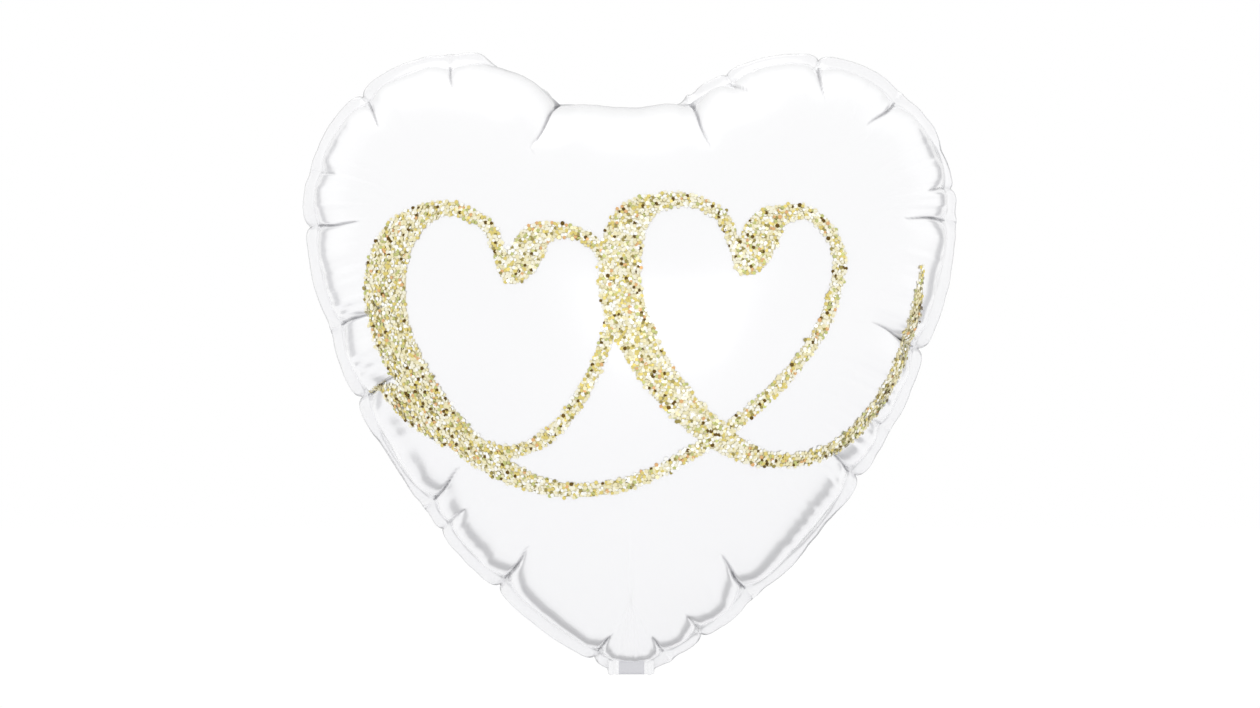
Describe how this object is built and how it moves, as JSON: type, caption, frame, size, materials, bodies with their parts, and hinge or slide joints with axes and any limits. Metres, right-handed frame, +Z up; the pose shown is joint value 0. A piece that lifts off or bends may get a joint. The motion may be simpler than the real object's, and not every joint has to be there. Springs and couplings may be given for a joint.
{
  "type": "heart-shaped foil balloon",
  "caption": "Inflated heart-shaped foil balloon with a heat-sealed rim, a glitter brush-line print, a folded filling tail and a self-sealing film valve.",
  "frame": {"origin": "middle of the fold line across the neck, where the tail leaves the heart's tip, on the seam's middle plane", "axes": "+Z up from the tip to the cleft, -Y out of the printed front panel, +X to the right of someone facing the front"},
  "size_m": [0.37, 0.1617, 0.3505],
  "materials": {
    "pearl_white_film": "glossy pearl-white metallised nylon film",
    "heat_seal": "heat-sealed film edge, slightly translucent",
    "gold_glitter": "coarse gold glitter print",
    "valve_film": "clear polyethylene film",
    "heatproof_ink": "thin heat-proof ink"
  },
  "bodies": {
    "envelope": {"front_panel": "pearl_white_film", "rear_panel": "pearl_white_film", "perimeter_seal": "heat_seal", "print_entry_stroke": "gold_glitter", "print_middle_stroke": "gold_glitter", "print_exit_stroke": "gold_glitter", "valve_anchor_front": "valve_film", "valve_anchor_rear": "valve_film", "release_coat": "heatproof_ink"},
    "front_lip": {"valve_front_film": "valve_film"},
    "rear_lip": {"valve_rear_film": "valve_film", "valve_side_welds": "heat_seal"},
    "tail": {"tail_front_ply": "pearl_white_film", "tail_rear_ply": "pearl_white_film", "tail_side_seals": "heat_seal", "valve_inlet_front": "valve_film", "valve_inlet_rear": "valve_film"}
  },
  "joints": [
    {"name": "tail_fold", "type": "hinge", "parent": "envelope", "child": "tail", "pos_m": [0, 0, 0], "axis": [-1, 0, 0], "range_deg": [0, 112]},
    {"name": "front_lip_open", "type": "hinge", "parent": "envelope", "child": "front_lip", "pos_m": [0, -0.00015, 0.0086], "axis": [1, 0, 0], "range_deg": [0, 5]},
    {"name": "rear_lip_open", "type": "hinge", "parent": "envelope", "child": "rear_lip", "pos_m": [0, 0.00015, 0.0086], "axis": [-1, 0, 0], "range_deg": [0, 5]}
  ],
  "couplings": [
    {"joint": "rear_lip_open", "follows": "front_lip_open", "ratio": 1}
  ]
}
